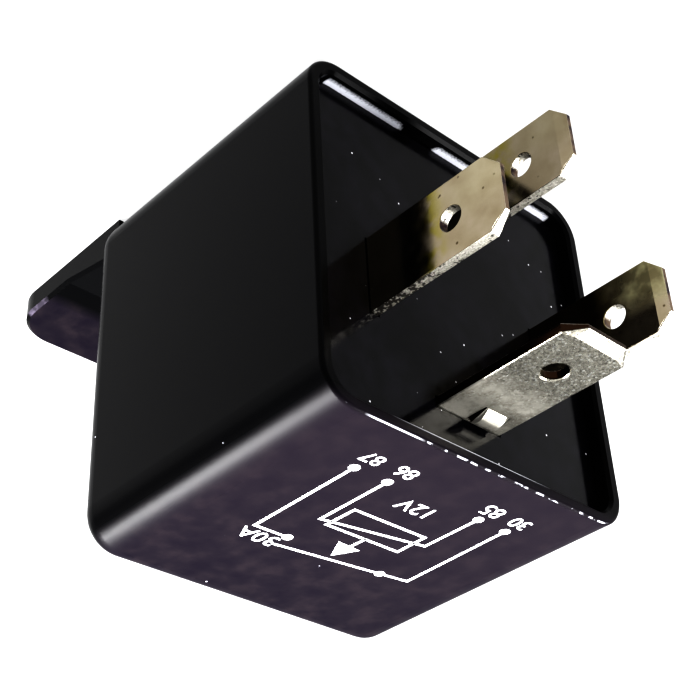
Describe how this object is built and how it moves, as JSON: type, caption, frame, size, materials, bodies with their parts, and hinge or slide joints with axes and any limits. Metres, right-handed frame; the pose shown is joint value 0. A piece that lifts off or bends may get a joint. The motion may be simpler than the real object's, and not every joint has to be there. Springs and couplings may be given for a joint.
{
  "type": "automotive relay",
  "caption": "Black plastic automotive relay with a flat mounting ear and blade terminals; inside, an electromagnet swings an armature to close its contacts.",
  "frame": {"origin": "centre of the ear's hole on the mounting face", "axes": "+X towards the tips of the terminals, +Z from the mounting face to the marked face"},
  "size_m": [0.0518, 0.0296, 0.03],
  "materials": {
    "moulded_cover": "smooth moulded black polyamide",
    "moulded_base": "polished moulded black polyamide",
    "tarnished_brass": "bright plated brass with a warm tarnish",
    "tinned_brass": "tin-plated brass, finely grained",
    "zinc_plated_steel": "zinc-plated",
    "plated_iron": "nickel-plated soft iron",
    "coil_former": "glass-filled polyamide",
    "enamelled_copper": "enamelled copper wire",
    "coil_tape": "clear yellow polyester tape",
    "tinned_copper": "soldered copper wire",
    "silver_alloy": "turned silver alloy",
    "spring_bronze": "rolled bronze strip",
    "rivet_brass": "turned brass",
    "spring_steel": "drawn wire",
    "bare_copper": "woven copper"
  },
  "bodies": {
    "case": {"cover": "moulded_cover", "base": "moulded_base", "supply_terminal": "tarnished_brass", "coil_terminal_left": "tarnished_brass", "coil_terminal_right": "tarnished_brass", "switched_terminal": "tinned_brass", "yoke": "zinc_plated_steel", "core": "plated_iron", "bobbin": "coil_former", "coil_winding": "enamelled_copper", "coil_tape": "coil_tape", "coil_lead_left": "tinned_copper", "coil_lead_right": "tinned_copper", "fixed_contact": "silver_alloy", "return_spring": "spring_steel", "braided_lead": "bare_copper"},
    "armature_group": {"armature": "plated_iron", "contact_leaf": "spring_bronze", "leaf_rivets": "rivet_brass", "moving_contact": "silver_alloy"}
  },
  "joints": [
    {"name": "armature_swing", "type": "hinge", "parent": "case", "child": "armature_group", "pos_m": [0.01485, 0, 0.0048], "axis": [0, 1, 0], "range_deg": [0, 2.63], "stiffness_Nm_per_rad": 0.05, "springref_deg": -11.46}
  ]
}
